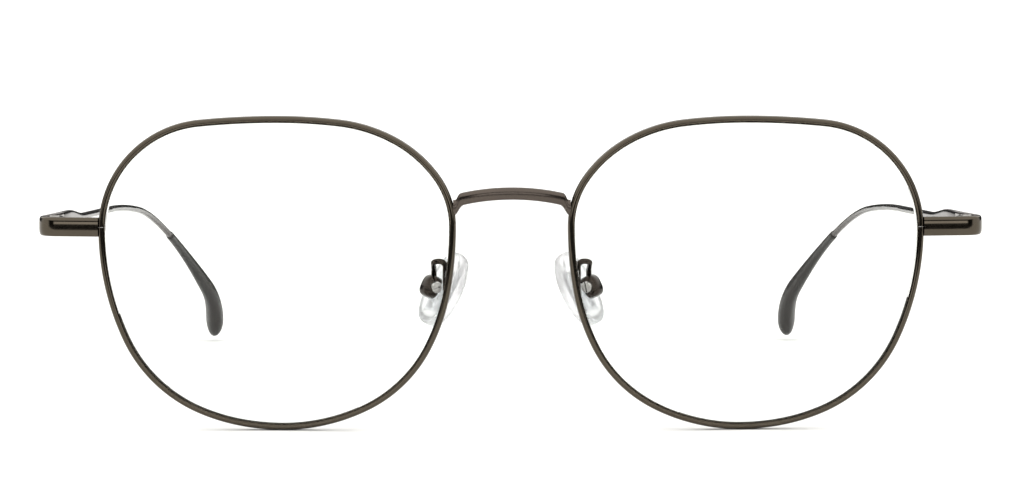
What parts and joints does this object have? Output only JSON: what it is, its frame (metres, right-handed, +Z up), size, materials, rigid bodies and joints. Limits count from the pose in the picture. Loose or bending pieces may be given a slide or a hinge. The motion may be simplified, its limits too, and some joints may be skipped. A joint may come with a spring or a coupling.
{
  "type": "round wire eyeglasses",
  "caption": "Metal-rimmed eyeglasses with softly rounded lenses, an arched bridge, rocking clear nose pads and slim temples that fold on screw hinges.",
  "frame": {"origin": "on the standing surface, below the middle of the opened pair's bounding box", "axes": "+Z up, the front faces -Y, the temples run back along +Y, +X to the wearer's left"},
  "size_m": [0.1396, 0.1372, 0.0463],
  "materials": {
    "frame_metal": "gunmetal plating, polished, dark and slightly warm",
    "temple_metal": "gunmetal plating, polished wire",
    "hinge_metal": "nickel silver under gunmetal plating, satin",
    "screw_steel": "bright turned steel",
    "lens_resin": "clear cast optical resin, polished",
    "pad_silicone": "clear moulded silicone, satin",
    "pad_insert": "clear polycarbonate",
    "tip_plastic": "dark gray-brown acetate, satin"
  },
  "bodies": {
    "front": {"bridge": "frame_metal", "left_endpiece": "frame_metal", "left_eyewire": "frame_metal", "left_front_hinge_leaf": "hinge_metal", "left_hinge_screw": "screw_steel", "left_lens": "lens_resin", "left_pad_arm": "frame_metal", "left_pad_box": "frame_metal", "left_pad_screw": "screw_steel", "left_rim_lock_lower": "frame_metal", "left_rim_lock_upper": "frame_metal", "left_rim_screw": "screw_steel", "right_endpiece": "frame_metal", "right_eyewire": "frame_metal", "right_front_hinge_leaf": "hinge_metal", "right_hinge_screw": "screw_steel", "right_lens": "lens_resin", "right_pad_arm": "frame_metal", "right_pad_box": "frame_metal", "right_pad_screw": "screw_steel", "right_rim_lock_lower": "frame_metal", "right_rim_lock_upper": "frame_metal", "right_rim_screw": "screw_steel"},
    "left_temple": {"left_temple": "temple_metal", "left_temple_hinge_leaf": "hinge_metal", "left_temple_tip": "tip_plastic"},
    "right_temple": {"right_temple": "temple_metal", "right_temple_hinge_leaf": "hinge_metal", "right_temple_tip": "tip_plastic"},
    "left_nose_pad": {"left_nose_pad": "pad_silicone", "left_pad_core": "pad_insert"},
    "right_nose_pad": {"right_nose_pad": "pad_silicone", "right_pad_core": "pad_insert"}
  },
  "joints": [
    {"name": "left_temple_fold", "type": "hinge", "parent": "front", "child": "left_temple", "pos_m": [0.06744, -0.06039, 0.02989], "axis": [0, 0, 1], "range_deg": [0, 81]},
    {"name": "right_temple_fold", "type": "hinge", "parent": "front", "child": "right_temple", "pos_m": [-0.06744, -0.06039, 0.02989], "axis": [0, 0, -1], "range_deg": [0, 78]},
    {"name": "left_nose_pad_rock", "type": "hinge", "parent": "front", "child": "left_nose_pad", "pos_m": [0.01191, -0.06155, 0.02087], "axis": [0.5, 0.866, 0], "range_deg": [-8, 8]},
    {"name": "right_nose_pad_rock", "type": "hinge", "parent": "front", "child": "right_nose_pad", "pos_m": [-0.01191, -0.06155, 0.02087], "axis": [-0.5, 0.866, 0], "range_deg": [-8, 8]}
  ]
}
